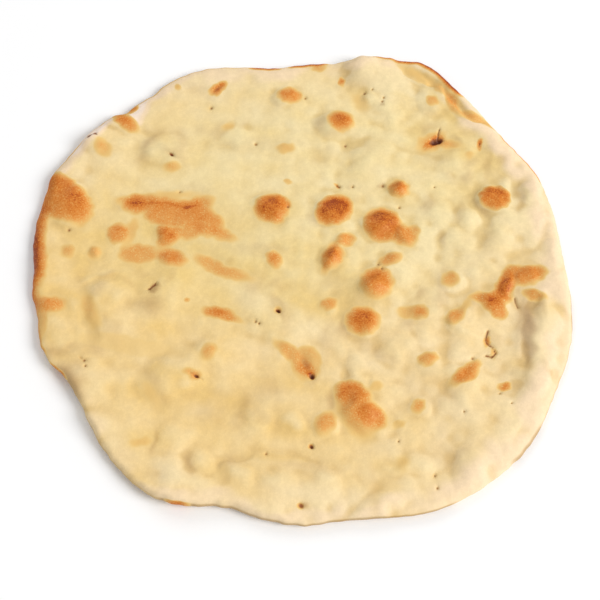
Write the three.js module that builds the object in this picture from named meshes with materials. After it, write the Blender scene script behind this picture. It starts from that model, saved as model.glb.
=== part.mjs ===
// A white pizza: one hand-stretched round of plain dough, baked with no topping.
// It is a thin uneven disc that lies flat, with a rounded edge, browned blisters,
// broad pale swellings, a trench along its far rim and small pits where bubbles burst.
// Millimetres, +Z up. The origin is on the table, under the middle of the bread's box.
import * as THREE from "three";

// Driving sizes, in millimetres.
const THICKNESS = 6.2; // dough with no bubble in it
const WIDEST_LEVEL = 2.2; // height of the edge's widest line above the table
const TOP_ROUNDING = 8; // how far in from the edge the top curves over
const UNDER_ROUNDING = 4; // how far in from the edge the underside curves up
const RIM_LIFT_REACH = 26; // how far in from the edge a lifted rim begins to rise

// The hand-stretched outline: [degrees from +X, distance from the middle].
const OUTLINE = [
  [0, 158.6], [6, 158.2], [15, 159.8], [24, 161], [36, 157.5], [42, 158.5],
  [48, 160.4], [54, 163.2], [60, 167.6], [63.5, 169], [66, 164.2], [69, 163.8],
  [75, 161], [81, 150.9], [84, 149.9], [90, 147.4], [96, 146.5], [105, 151],
  [114, 157], [123, 157.9], [127, 155.3], [132, 157.1], [135, 156.6], [138, 160.8],
  [147, 163.6], [153, 164.2], [158, 165.3], [162, 163.6], [168, 162],
  [180, 157.8], [186, 157.8], [192, 156.4], [198, 157.2], [204, 155.3], [207.5, 151.3],
  [213, 150.2], [219, 152.3], [228, 156.8], [240, 160.7], [246, 157], [255, 150.4],
  [262, 152], [271, 154.4], [278, 154], [286, 157], [297, 164.6], [313, 169],
  [321, 168.5], [330, 165.6], [342, 164.5], [351, 161.8],
];

// Blisters, tight domes with a clear foot: [x, y, half length, half width, turn, rise].
const BLISTERS = [
  // the row of large browned ones right of the middle
  [-16, 37, 10.4, 9.8, -5, 4.5], [21, 35, 11.5, 9.8, 2, 5.5], [49, 26, 12.1, 11, 9, 5.5],
  [46, -14, 11.2, 10.4, 11, 5], [36, -38, 11, 8.9, 2, 5], [28, -83, 11.2, 8.4, -11, 5.5],
  [39, -96, 9.4, 7.1, -22, 4.5], [14, -100, 8.3, 7, 1, 4], [117, 42, 12.5, 11.6, 36, 5.5],
  // the far side
  [-6, 117, 9.6, 7.7, 0, 3.5], [23, 98, 12.7, 9.8, -7, 4.5], [82, 115, 10.3, 9.4, -77, 4],
  [-42, 92, 8.9, 8.2, -10, 2],
  // the left edge
  [-143, 40, 18.6, 15.4, -47, 6], [-110, 97, 9.8, 8.2, -53, 4.5], [-124, 80, 9.7, 8.6, -68, 3.5],
  [-144, -25, 7.6, 5.1, -5, 2],
  // small ones between the others
  [61, 51, 6.8, 6.4, 17, 2.5], [64, 19, 6.7, 6.1, 13, 2.5], [20, 4, 8, 7.2, 87, 4],
  [28, 16, 6.1, 4.7, 23, 2.5], [89, -11, 6.6, 5.9, 14, 2.5], [69, -32, 5.3, 4.5, 7, 2],
  [90, -35, 7.4, 4.8, 36, 3], [73, -61, 6.9, 4.9, 3, 2.5], [92, -71, 12, 5.7, 37, 4],
  [65, -89, 5.9, 5.1, 44, 2.5], [17, -26, 5.3, 4.5, 2, 2], [-110, 21, 6.3, 5.9, -53, 2],
  [-78, 20, 5.6, 5.3, -49, 2], [-76, 5, 6.6, 5.3, -13, 2.5], [-51, -55, 4, 3.7, -11, 1.5],
  [-52, -122, 8.8, 7.9, -9, 3],
  // the group by the right rim
  [133, -6, 11.9, 9.2, 8, 3.5], [119, -15, 10, 5.2, 72, 3], [115, -26, 10.6, 7.7, 5, 4],
];

// Swellings, broad soft rises: the same six sizes.
const SWELLINGS = [
  // left half
  [-82, 77, 16.3, 14.6, -12, 3.5], [-107, -22, 17.3, 16, -54, 4.5], [-111, -78, 21.5, 16, -88, 5],
  [-71, -77, 14.6, 13.4, -70, 4], [-62, -109, 17.7, 13.8, -4, 3], [-140, -43, 14, 10.3, -78, 2.5],
  [-125, 59, 9, 8.3, -43, 1.5], [-135, 26, 11, 9.6, -16, 1.5], [-34, -24, 15.3, 10.4, -1, 1],
  [-20, -103, 8.9, 7, -1, 2],
  // near side
  [-7, -133, 33.7, 15.6, 0, 3], [61, -126, 13.7, 10.1, 3, 3], [55, -143, 18.4, 9.8, 6, 3.5],
  [105, -125, 24, 17, 26, 4],
  // right half, with the puffed rim
  [146, -53, 34.4, 12.6, 84, 4], [98, -49, 16.7, 15.7, 48, 4], [144, 43, 21.5, 9.6, 68, 3],
  [149, 5, 17.8, 8.2, 71, 2], [106, 32, 11.2, 8.5, 81, 2.5], [120, 19, 9.7, 8.3, 72, 2],
  [112, 68, 10.3, 8.6, 76, 1.5], [95, -89, 10.2, 8.3, 8, 2], [93, 9, 9.6, 8.1, 8, 1.5],
  // far side and middle
  [49, 128, 22.2, 21.6, 46, 6], [40, 68, 15, 14.5, 22, 2.5], [91, 68, 8.7, 7.3, 7, 2],
  [31, 1, 13.4, 8.4, 88, 1.5], [58, -55, 11.5, 8.7, 3, 1.5], [36, -68, 7.3, 6.8, 80, 1.5],
];

// Pits where a bubble burst or the dough was pinched: the same, with the depth last.
const PITS = [
  [85, 86, 6.5, 5, 20, 3.5], [6, -68, 7.1, 4, -53, 2.2], [-53, 127, 8.3, 4, 47, 1.5],
  [-84, -14, 5, 4.5, 51, 1.8], [-58, -71, 5, 4.5, -4, 1.8],
];

// Trenches that follow the outline: degrees it runs from and to, how far in from the
// edge its floor lies, its half width and its depth.
const TRENCHES = [
  { from: 38, to: 66, inset: 11, halfWidth: 6, depth: 3 }, // behind the far rim's lip
  { from: -28, to: -3, inset: 27, halfWidth: 7, depth: 2.2 }, // behind the right rim
  { from: 186, to: 202, inset: 40, halfWidth: 7, depth: 1.4 }, // left of the big swelling
];

// Stretches of rim that curl up off the table: middle and half span in degrees, lift.
const RIM_LIFTS = [
  { at: 52, halfSpan: 24, lift: 3.5 },
  { at: 205, halfSpan: 16, lift: 2 },
  { at: 243, halfSpan: 12, lift: 1.5 },
];

// How finely the faces are laid.
const TOP_RINGS = 37;
const SIDES_A_RING = 6; // the n-th ring from the middle has this many times n sides
const EDGE_CROWDING = 12; // higher keeps the rings even for longer before the edge
const UNDER_INSETS = [0.5, 1.6, 4, 12, 26]; // underside rings as fine as the edge
const UNDER_RINGS = [[0.6, 84], [0.3, 42]]; // then coarse ones: [share of the radius, sides]

const degrees = THREE.MathUtils.degToRad;
const turnOf = (angle) => ((angle % 360) + 360) % 360;

// Distance from the middle to the edge: a cubic through the outline's points, whose
// slope at each point is the slope between the two points beside it.
function edgeRadius(angle) {
  const a = turnOf(angle);
  const n = OUTLINE.length;
  let i = n - 1;
  while (OUTLINE[i][0] > a) i--;
  const point = (k) => {
    const laps = Math.floor((i + k) / n);
    const [at, radius] = OUTLINE[(i + k + n) % n];
    return [at + 360 * laps, radius];
  };
  const [a0, r0] = point(-1);
  const [a1, r1] = point(0);
  const [a2, r2] = point(1);
  const [a3, r3] = point(2);
  const step = a2 - a1;
  const slope1 = ((r2 - r0) / (a2 - a0)) * step;
  const slope2 = ((r3 - r1) / (a3 - a1)) * step;
  const t = (a - a1) / step;
  const rise = r2 - r1;
  return r1 + t * (slope1 + t * (3 * rise - 2 * slope1 - slope2 + t * (slope1 + slope2 - 2 * rise)));
}

// How far (x, y) is from a mound's middle, as a share of the mound's own size, squared.
function shareOut(x, y, [cx, cy, halfLength, halfWidth, turn]) {
  const c = Math.cos(degrees(turn));
  const s = Math.sin(degrees(turn));
  const along = ((x - cx) * c + (y - cy) * s) / halfLength;
  const across = ((y - cy) * c - (x - cx) * s) / halfWidth;
  return Math.min(along * along + across * across, 1);
}

// One bell that is 1 at the middle and 0 from the half width on.
const bell = (distance, half) => (1 - Math.min((distance / half) ** 2, 1)) ** 2;

// Height that all the blisters, swellings, pits and the dough's own waves add at (x, y).
function relief(x, y) {
  const wx = x + 0.7 * Math.sin(y / 2.9 + 0.7) + 0.5 * Math.sin(y / 5.3 + x / 9);
  const wy = y + 0.7 * Math.sin(x / 2.7 + 1.9) + 0.5 * Math.sin(x / 5.9 - y / 8);
  // Blisters that meet keep their own crowns: the fourth root of a sum of fourth powers.
  let fourth = 0;
  for (const b of BLISTERS) fourth += (b[5] * (1 - shareOut(wx, wy, b))) ** 4;
  let height = fourth ** 0.25;
  for (const s of SWELLINGS) height += s[5] * (1 - shareOut(wx, wy, s)) ** 1.5;
  for (const p of PITS) height -= p[5] * (1 - shareOut(wx, wy, p)) ** 2;
  height += 0.3 * Math.sin(x / 8.3 + y / 31 + 1.1) * Math.sin(y / 9.7 - x / 37 + 0.4);
  height += 0.25 * Math.sin(x / 23 + y / 17 + 2) * Math.sin(x / 15 - y / 26 + 0.9);
  return height;
}

// What the trenches take away at an angle and a distance in from the edge.
function trenchDepth(angle, inset) {
  let depth = 0;
  for (const t of TRENCHES) {
    const middle = (t.from + t.to) / 2;
    const off = Math.abs(turnOf(angle - middle + 180) - 180);
    depth += t.depth * bell(off, (t.to - t.from) / 2) ** 0.5 * bell(inset - t.inset, t.halfWidth);
  }
  return depth;
}

// How far a curled rim stands off the table, fading to nothing inwards.
function rimLift(angle, inset) {
  const fade = Math.max(1 - inset / RIM_LIFT_REACH, 0) ** 2;
  let lift = 0;
  for (const r of RIM_LIFTS) {
    lift += r.lift * bell(Math.abs(turnOf(angle - r.at + 180) - 180), r.halfSpan);
  }
  return lift * fade;
}

// A quarter ellipse: 0 at the edge, 1 from the rounding's width inwards.
function quarterRound(inset, width) {
  const left = Math.max(1 - inset / width, 0);
  return Math.sqrt(1 - left * left);
}

// A point of the top skin, at a share of the edge's radius.
function topPoint(angle, share) {
  const radius = edgeRadius(angle);
  const inset = radius * (1 - share);
  const x = radius * share * Math.cos(degrees(angle));
  const y = radius * share * Math.sin(degrees(angle));
  const full = THICKNESS + relief(x, y) - trenchDepth(angle, inset) - WIDEST_LEVEL;
  const z = WIDEST_LEVEL + full * quarterRound(inset, TOP_ROUNDING) + rimLift(angle, inset);
  return [x, y, z];
}

// A point of the underside, flat on the table but for its rounded and lifted rim.
function underPoint(angle, share) {
  const radius = edgeRadius(angle);
  const inset = radius * (1 - share);
  const z = WIDEST_LEVEL * (1 - quarterRound(inset, UNDER_ROUNDING)) + rimLift(angle, inset);
  return [radius * share * Math.cos(degrees(angle)), radius * share * Math.sin(degrees(angle)), z];
}

// The closed skin: rings of points from the middle of the top, out over the edge and
// back under to the middle, each ring zipped to the next with triangles.
function breadGeometry() {
  const points = [];
  const faces = [];
  const addRing = (count, pointAt) => {
    const first = points.length / 3;
    for (let i = 0; i < count; i++) points.push(...pointAt((360 * i) / count));
    return { first, count };
  };
  const zip = (a, b) => {
    let i = 0;
    let j = 0;
    while (i < a.count || j < b.count) {
      const here = a.first + (i % a.count);
      const there = b.first + (j % b.count);
      const stepOnB = i === a.count || (j < b.count && (j + 1) * a.count <= (i + 1) * b.count);
      if (stepOnB) {
        j++;
        if (b.count > 1) faces.push(here, there, b.first + (j % b.count));
      } else {
        i++;
        if (a.count > 1) faces.push(here, there, a.first + (i % a.count));
      }
    }
  };

  const rings = [addRing(1, () => topPoint(0, 0))];
  for (let ring = 1; ring <= TOP_RINGS; ring++) {
    // Even steps that shorten to nothing at the edge, where the skin turns down.
    const even = ring / TOP_RINGS;
    const share = even + (even * (1 - even ** EDGE_CROWDING)) / EDGE_CROWDING;
    rings.push(addRing(SIDES_A_RING * ring, (angle) => topPoint(angle, share)));
  }
  const edgeSides = SIDES_A_RING * TOP_RINGS;
  for (const inset of UNDER_INSETS) {
    rings.push(addRing(edgeSides, (angle) => underPoint(angle, 1 - inset / edgeRadius(angle))));
  }
  for (const [share, sides] of UNDER_RINGS) {
    rings.push(addRing(sides, (angle) => underPoint(angle, share)));
  }
  rings.push(addRing(1, () => underPoint(0, 0)));
  for (let i = 1; i < rings.length; i++) zip(rings[i - 1], rings[i]);

  const geometry = new THREE.BufferGeometry();
  geometry.setAttribute("position", new THREE.Float32BufferAttribute(points, 3));
  geometry.setIndex(faces);
  geometry.computeBoundingBox();
  const middle = geometry.boundingBox.getCenter(new THREE.Vector3());
  geometry.translate(-middle.x, -middle.y, 0);
  geometry.computeVertexNormals();
  return geometry;
}

const bakedDough = new THREE.MeshStandardMaterial({ color: 0xecd6a6, roughness: 0.75, metalness: 0 });

const bread = new THREE.Mesh(breadGeometry(), bakedDough);
bread.name = "pizza_bread";

const whitePizza = new THREE.Group();
whitePizza.add(bread);

export default whitePizza;
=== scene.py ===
import bpy
import numpy as np
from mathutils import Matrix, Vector


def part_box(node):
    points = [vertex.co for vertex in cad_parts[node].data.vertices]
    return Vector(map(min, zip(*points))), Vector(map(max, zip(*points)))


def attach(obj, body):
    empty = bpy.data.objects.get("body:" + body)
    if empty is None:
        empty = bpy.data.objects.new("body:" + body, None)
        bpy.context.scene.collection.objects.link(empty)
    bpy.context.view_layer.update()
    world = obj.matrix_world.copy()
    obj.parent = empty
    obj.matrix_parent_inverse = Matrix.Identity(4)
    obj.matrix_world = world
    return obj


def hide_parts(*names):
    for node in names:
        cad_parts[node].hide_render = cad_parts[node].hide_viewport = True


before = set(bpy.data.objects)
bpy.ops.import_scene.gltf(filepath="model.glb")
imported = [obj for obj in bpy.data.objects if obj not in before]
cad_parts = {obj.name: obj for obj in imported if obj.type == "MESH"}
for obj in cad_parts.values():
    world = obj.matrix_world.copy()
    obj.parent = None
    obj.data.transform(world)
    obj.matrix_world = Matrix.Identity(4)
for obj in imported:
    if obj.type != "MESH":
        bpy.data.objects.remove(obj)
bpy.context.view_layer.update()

# --------------------------------------------------------------------------------------
# The stretched round. A ball of wheat dough is pressed out by hand into a thin disc that
# is nowhere quite round or even. Its edge rolls over above and below, and its far rim
# curls up off the table a little as it bakes.
THICKNESS = 6.2
WIDEST_LEVEL = 2.2
TOP_ROUNDING = 8
UNDER_ROUNDING = 4
LIFT_REACH = 26
CRUMPLE = 0.15

# [degrees from the right, distance from the middle]. The radii were chosen from a script's
# list of the photo's silhouette, then moved by the gaps a script measured to the render.
OUTLINE = np.array([
    [0, 158.6], [6, 158.2], [15, 159.7], [24, 160.6], [33, 157.5], [37.5, 157.3],
    [42, 157.6], [48, 159.9], [51, 160.5], [54, 163.2], [60, 167.4], [62.5, 167.2],
    [66, 163.9], [69, 163.8], [75, 158.7], [81, 150.5], [84, 149.6], [90, 147.4],
    [96, 145.8], [105, 151], [114, 156.9], [123, 157.7], [127, 155.4], [132, 156],
    [135, 155.5], [138, 160.1], [147, 162.7], [153, 163.7], [158, 165.7], [162, 163.7],
    [168, 162.4], [177, 159.6], [180, 157.8], [186, 158.2], [192, 155.9], [198, 157],
    [204, 154.6], [207.5, 150.9], [213, 149.5], [219, 151.9], [228, 157], [240, 160.8],
    [246, 157.8], [255, 150.6], [262, 152.9], [271, 155.4], [278, 154.5], [286, 157.4],
    [297, 164.8], [313, 168.6], [321, 168.6], [330, 165.5], [342, 164.8], [351, 161.8],
])

# Stretches of rim that curl up: middle and half span in degrees, and the lift.
RIM_LIFTS = [(52, 24, 3.5), (205, 16, 2), (243, 12, 1.5)]

# The near left edge is thin: from and to in degrees, how far it fades, by what share its
# rounding is tighter, and how much higher its widest line lies.
THIN_EDGE = (200, 300, 12, 0.5, 1.9)


def dough_waves(x, y, shortest, longest, seed, count=28):
    """An uneven field with a spread of 1: the sum of plane waves that run every way, each
    with a length between the two given and a start of its own."""
    draw = np.random.default_rng(seed)
    length = draw.uniform(shortest, longest, (count, 1))
    way = draw.uniform(0, 2 * np.pi, (count, 1))
    start = draw.uniform(0, 2 * np.pi, (count, 1))
    phase = 2 * np.pi * (x * np.cos(way) + y * np.sin(way)) / length + start
    return np.sqrt(2 / count) * np.sin(phase).sum(0)


def blurred_step(low, high, value):
    """0 up to low, 1 from high on, and 3t^2 - 2t^3 between them; low may be the larger."""
    t = np.clip((value - low) / (high - low), 0, 1)
    return t * t * (3 - 2 * t)


def edge_radius(angle):
    """Distance from the middle to the edge at angles in degrees: a cubic through the
    outline's points, whose slope at a point is that between its two neighbours, with a
    fine crumple of waves on it."""
    at, radius = OUTLINE.T
    at = np.concatenate([at[-2:] - 360, at, at[:3] + 360])
    radius = np.concatenate([radius[-2:], radius, radius[:3]])
    turned = np.mod(angle, 360)
    i = np.searchsorted(at, turned, side="right") - 1
    step = at[i + 1] - at[i]
    slope_in = (radius[i + 1] - radius[i - 1]) / (at[i + 1] - at[i - 1]) * step
    slope_out = (radius[i + 2] - radius[i]) / (at[i + 2] - at[i]) * step
    rise = radius[i + 1] - radius[i]
    t = (turned - at[i]) / step
    bend = 3 * rise - 2 * slope_in - slope_out + t * (slope_in + slope_out - 2 * rise)
    smooth = radius[i] + t * (slope_in + t * bend)
    x, y = smooth * np.cos(np.radians(turned)), smooth * np.sin(np.radians(turned))
    return smooth + CRUMPLE * dough_waves(x, y, shortest=5, longest=14, seed=11)


def along_rim(angle, start, end, fade=2):
    """1 on the stretch of rim between two angles, with a blurred step at each end that runs
    from half of fade inside it to fade degrees beyond it."""
    off = np.abs(np.mod(angle - (start + end) / 2 + 180, 360) - 180)
    return blurred_step((end - start) / 2 + fade, (end - start) / 2 - fade / 2, off)


def quarter_round(inset, width):
    """A quarter ellipse: 0 at the edge, 1 from the rounding's width inwards."""
    return np.sqrt(1 - np.clip(1 - inset / width, 0, 1) ** 2)


def rim_lift(angle, inset):
    """How far the curled rim stands off the table: bells along the rim that fade with
    the square of the distance in from the edge."""
    lift = 0
    for middle, half_span, height in RIM_LIFTS:
        off = np.abs(np.mod(angle - middle + 180, 360) - 180)
        lift = lift + height * (1 - np.clip(off / half_span, 0, 1) ** 2) ** 2
    return lift * np.clip(1 - inset / LIFT_REACH, 0, 1) ** 2


def thin_edge(angle):
    """The width of the top's rounding, less the tighter share of it on the thin stretch, and
    the level of the widest line, plus what it lies higher there."""
    start, end, fade, tighter, higher = THIN_EDGE
    thin = along_rim(angle, start, end, fade)
    return TOP_ROUNDING * (1 - tighter * thin), WIDEST_LEVEL + higher * thin


# --------------------------------------------------------------------------------------
# The blisters. Gas lifts the skin into tight domes with a clear foot, which lies 2 to 19 mm
# from their middle. They stand highest, so they brown first.
BLISTER_FOOT = 0.22

# [x, y, half length, half width, turn in degrees, rise]. Each row is a given one,
# averaged twice with what a least-squares fit to the photo's shading gave.
BLISTERS = np.array([
    [-17.2, 39.4, 11.9, 8.1, -18, 2.5], [20.8, 37.6, 11.9, 12.1, -4, 2.3],
    [49.6, 27.7, 12.1, 9.4, 5, 3.9], [43.7, -14.5, 9.6, 7.4, 0, 3.7], [37, -37.9, 12.3, 9.4, -12, 2.8],
    [30.2, -81.1, 13.6, 10.7, 76, 1.9], [40.3, -96.9, 14.4, 9, -22, 1.8],
    [14.9, -99.6, 8.4, 8.4, -20, 1.9], [116.3, 44.4, 8.5, 11, 13, 3.2],
    [-9.3, 119.8, 8.4, 8.5, 15, 2.3], [22.4, 98.2, 13.7, 9.8, -10, 2.7],
    [84.6, 115.4, 11.9, 9.7, -63, 2.5], [-38.6, 89.9, 11.3, 10, -10, 1.3],
    [-141.1, 42, 18.7, 13.7, -66, 2.7], [-110.7, 99.5, 14.2, 7.8, -33, 1.8],
    [-128.7, 85.1, 9.8, 7.8, -40, 1.8], [-148.9, -25.4, 9.8, 4.3, -6, 1.4],
    [60.7, 50.9, 5.3, 5, 18, 3.4], [62.6, 20.7, 8, 5.8, -40, 1.9], [19.3, 4.6, 8.2, 5.1, 63, 4.1],
    [25.1, 16.5, 5.4, 4.5, 10, 1.4], [57, 6, 5.4, 3.9, 15, 0.8], [91.6, -12.3, 8.7, 7.5, -5, 1.2],
    [69.2, -31.9, 6.6, 4.4, 40, 0.8], [92, -34.9, 6.9, 6.3, 35, 1.6], [73, -59.8, 7.3, 4.6, 26, 1.4],
    [93.9, -69.1, 10.9, 5.2, 45, 1.5], [68.6, -89.7, 6.9, 5.1, -38, 1],
    [-15.6, 3.5, 6.8, 4.7, -63, 1.3], [18.3, -27.9, 6.6, 6.4, 7, 1.2], [-109.1, 18.9, 8.5, 7.2, -70, 1],
    [-79.6, 20.8, 8.8, 6, -41, 1.8], [-74.9, 3.2, 9.4, 4.5, 3, 1], [-121.6, 9, 5.6, 4, -68, 1.5],
    [-138.1, 9.3, 5.9, 4, -65, 0.5], [-108.5, 112, 2.6, 1.9, 60, 0.5], [-5.4, 80.4, 6.8, 4.7, 0, 0.7],
    [-53.8, -54.5, 6.8, 5.8, -34, 1], [56.2, -99.7, 5.5, 4, 4, 0.7], [42.9, -77.6, 5.8, 3.7, -6, 0.8],
    [-52.3, -120.9, 8.6, 7.8, 7, 1.5], [133.9, -8.4, 7.5, 6.6, 17, 1.1],
    [121.5, -13.5, 10.3, 4.1, 76, 1.7], [113.9, -25.8, 10, 8.3, -12, 2],
    [138.4, -21.1, 6.6, 4.6, -32, 1.3],
])


def share_out(x, y, mounds):
    """The squared distance from each mound's middle as a share of its own size: 0 at the
    middle and 1 on its foot, which is an ellipse. One row for each mound."""
    middle_x, middle_y, half_length, half_width, turn = mounds[:, :5, None].transpose(1, 0, 2)
    c, s = np.cos(np.radians(turn)), np.sin(np.radians(turn))
    along = ((x - middle_x) * c + (y - middle_y) * s) / half_length
    across = ((y - middle_y) * c - (x - middle_x) * s) / half_width
    return along**2 + across**2


def domes(x, y, mounds, foot):
    """Domes of rise times s = 1 - r^2, with a soft foot: (s + sqrt(s^2 + foot^2)) / 2. Where
    they meet they keep their own crowns: the fourth root of the sum of fourth powers."""
    inside = 1 - share_out(x, y, mounds)
    soft = (inside + np.sqrt(inside**2 + foot**2)) / 2
    return ((mounds[:, 5:] * soft) ** 4).sum(0) ** 0.25


# --------------------------------------------------------------------------------------
# The swellings. Larger, slower bubbles raise broad pale hills with no foot. They stand
# close together near the rim, where the dough is thickest.
SWELLING_FOOT = 0.4

# The same six numbers. All rows are the rounded output of that fit, which placed 54 itself.
SWELLINGS = np.array([
    [41.5, 145.7, 20.3, 10.9, 81, 4.2], [46.3, 144.4, 59.4, 12.3, -50, 2.1],
    [-23, 125.6, 9.9, 17.8, -10, 0.9], [-6.6, 132.9, 15.7, 17.9, 57, 1.4],
    [-5.3, 108.6, 17.1, 13.7, 6, 1.3], [30, 104.6, 19, 9.1, -50, 1.3],
    [46.7, 117.7, 3.4, 10.5, 41, 2.2], [50.1, 129.9, 12.5, 33.9, 20, 2.4],
    [56.3, 129.4, 5.7, 11.4, -63, 2.4], [60.3, 106.1, 5.4, 26.1, -14, 1.3],
    [76.2, 134.5, 12.9, 3.9, -37, 2.4], [-147, 63.1, 10.3, 22.2, -56, 2.1],
    [-140, 94.6, 50.7, 9, -17, 2.6], [-116.3, 77.8, 16.1, 19.7, -62, 1.6],
    [-110.2, 85.4, 16.9, 6.2, 16, 1.7], [-84.5, 79.1, 18.6, 11.6, -11, 3],
    [-4.6, 77.5, 24.4, 14.3, 76, 0.9], [18.5, 80.4, 6.2, 10.4, -12, 0.7],
    [41.5, 72.5, 20.1, 8.7, 53, 1.9], [46.2, 71.2, 34.8, 14.1, 57, 1.3],
    [52.1, 90.8, 40.6, 6.4, -16, 1.3], [68.2, 67, 21.9, 10, 12, 1.1], [94.1, 70.3, 53.7, 7.5, 50, 0.8],
    [111.8, 99.5, 55.6, 9.3, -57, 1.9], [24.8, 25.8, 18.2, 6.9, 30, 0.9],
    [67.2, 52.7, 23.9, 9.9, 37, 1.1], [77.2, 20.3, 9.2, 30, -16, 0.8], [83.8, 52.2, 7.7, 13.1, 47, 1.3],
    [85.5, 33.8, 13.5, 10.4, -70, 1.8], [101.8, 29.6, 10.1, 6.9, -89, 2], [120, 21.8, 5.4, 8, -7, 2.7],
    [123.9, 23.9, 24.8, 10.2, 64, 2.5], [124.7, 36.6, 4.9, 25.2, -4, 2.2],
    [134.1, 28.3, 7.7, 21.3, 29, 1.9], [137, 32.3, 7.7, 25.2, -30, 2], [142.6, 49.9, 6.8, 13.4, -34, 3],
    [142.7, 42.2, 29.6, 7.6, 90, 1.8], [-158.6, -5.3, 29.3, 16.8, -3, 2.2],
    [-151.3, 19.4, 11.2, 6.3, -12, 0.7], [-3.5, -2.7, 12.6, 7.3, -18, 0.9],
    [0, 15.1, 14.4, 18.9, -14, 1.4], [42.3, -15, 15.8, 12.2, -32, 2.5], [56.9, -4.1, 15.9, 13, 31, 1.6],
    [94.3, 17.3, 9.2, 10, 86, 1.5], [153.2, 10.6, 23.1, 8.1, 42, 2.3],
    [168.3, -19.4, 15.2, 71.5, 77, 4], [-136, -43.3, 21.1, 9.3, -60, 1.3],
    [-114.2, -28.9, 27.4, 20.1, -83, 2.6], [-106.6, -44.8, 29.9, 21.6, 0, 1.8],
    [-80.1, -20.4, 49.6, 14.6, 60, 1.3], [-47.2, -56.4, 8.1, 12.3, -13, 2.3],
    [-44.2, -59.1, 27.1, 17.2, -62, 1.3], [-13.3, -40.1, 30.4, 11.1, -41, 1.7],
    [-7, -44.5, 6.1, 27.9, -18, 0.9], [-4.7, -34, 21.2, 15.1, 78, 1.3], [23.7, -54, 4.8, 16.8, 49, 0.7],
    [39.1, -20.3, 49.8, 11.6, -62, 1.3], [58.2, -52.3, 12.8, 16.6, -33, 1.7],
    [77.4, -33.5, 24.6, 10.9, 77, 1.8], [90.1, -42.6, 8.3, 4, -72, 3.1],
    [90.1, -39.2, 29.1, 11.6, 1, 1.1], [93.4, -44.5, 13.7, 5.7, -46, 2.5],
    [93.7, -47.9, 27.1, 9.1, 73, 2.1], [133.6, -47.7, 5.3, 31.2, -6, 4.6],
    [141, -36, 62.3, 11.6, 76, 3.4], [-118.5, -74.1, 16.7, 27.3, 17, 2.2],
    [-67.8, -68.4, 27.6, 13.2, 31, 3.4], [-21.3, -95.9, 10.9, 14.8, -26, 1.3],
    [-3.7, -97.3, 9.9, 8.3, -4, 2.4], [-1.4, -94.3, 13.4, 18.4, 32, 1.4],
    [34.3, -66.4, 14.7, 6, -69, 1.7], [36.2, -89.6, 14.3, 10.1, 34, 3],
    [44.5, -75.8, 12.1, 21.3, 31, 1.6], [77.7, -66.1, 9.4, 11.8, 24, 1.6],
    [87.6, -68.5, 7.7, 5.3, 2, 2.4], [93.5, -81, 10.7, 18.3, -37, 3],
    [97.3, -94.1, 34.6, 10.6, 84, 1.4], [115.4, -99.8, 17.9, 7.5, 74, 1.7],
    [117.1, -91.8, 29.4, 8.3, -19, 1.3], [136.3, -69.4, 22, 7.9, 62, 3.8],
    [-115.2, -100.2, 11.1, 19.5, -88, 3.3], [-96.2, -113.4, 47.9, 21.3, -83, 2.3],
    [-70.6, -107.7, 15.1, 10.3, 8, 1.9], [-59.8, -132.7, 19.4, 7.8, -14, 3.6],
    [-32, -129.6, 11.5, 7.6, -33, 2.4], [-7.5, -134.8, 17.3, 12.1, 8, 2.8],
    [8.7, -138.2, 18.3, 13.2, 38, 3], [11.6, -131.7, 12.3, 6.1, 39, 2.7],
    [62.6, -123.4, 15.9, 6.6, 6, 2], [62.8, -100.3, 4.5, 9.4, -59, 0.6],
    [80.8, -130.9, 12.5, 7.2, 35, 0.6], [94.3, -123.9, 10.7, 16.3, -19, 3.3],
    [104.3, -107.5, 15, 9.3, -74, 1.6], [-142, -154.9, 186, 27.4, 4, 4.6],
    [-66.5, -142.4, 31, 14.5, -77, 3.5], [32, -155.1, 50.4, 9.1, 38, 2.7],
])


# --------------------------------------------------------------------------------------
# Folds and trenches. Behind the far rim the dough was folded on itself, so the inner part
# ends in a step above a trench. Softer trenches lie behind the right rim and on the left.
FOLDS = [
    # path, depth, half width of the step, width of the trench outside it
    ([[60, 151], [64, 145], [68, 138.5], [74, 133], [80, 129.5], [86, 127.5], [91, 124.5],
      [94.5, 119.5], [96.5, 113.5], [99.5, 108.5], [104.5, 104.5], [111, 101], [118, 98], [130, 88]],
     2.7, 1.3, 9),
    ([[-44, -132], [-42, -123], [-35, -120], [-27, -119], [-22, -117], [-10, -118], [0, -119],
      [8, -122], [14, -127]], 0.9, 1.4, 14),
]
TRENCHES = [
    # path, depth, half width
    ([[138, -18], [136, -28], [134, -38], [132, -50], [130, -68]], 2.8, 6),
    ([[-128, -10], [-125, -25], [-123, -36], [-117, -54]], 1.2, 7),
    ([[-128, -18], [-118, -10], [-102, -8]], 0.8, 4),
]


def near_path(x, y, path):
    """Distance to a path of straight legs, positive to the left of its run, and the share
    of the path's length at the nearest point."""
    path = np.array(path, float)
    start, run = path[:-1, :, None], np.diff(path, axis=0)[:, :, None]
    length = np.hypot(run[:, 0], run[:, 1])
    from_x, from_y = x - start[:, 0], y - start[:, 1]
    t = np.clip((from_x * run[:, 0] + from_y * run[:, 1]) / length**2, 0, 1)
    distance = np.hypot(from_x - t * run[:, 0], from_y - t * run[:, 1])
    side = np.sign(run[:, 0] * from_y - run[:, 1] * from_x)
    gone = np.concatenate([[[0]], np.cumsum(length, 0)[:-1]]) + t * length
    nearest = distance.argmin(0)[None]

    def at_nearest(rows):
        """Each place's value on its nearest leg."""
        return np.take_along_axis(rows, nearest, 0)[0]

    return at_nearest(side * distance), at_nearest(gone) / length.sum()


def path_ends(share):
    """1 along a path, fading to 0 over its first and last fifth."""
    return blurred_step(0, 0.2, share) * blurred_step(1, 0.8, share)


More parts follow.
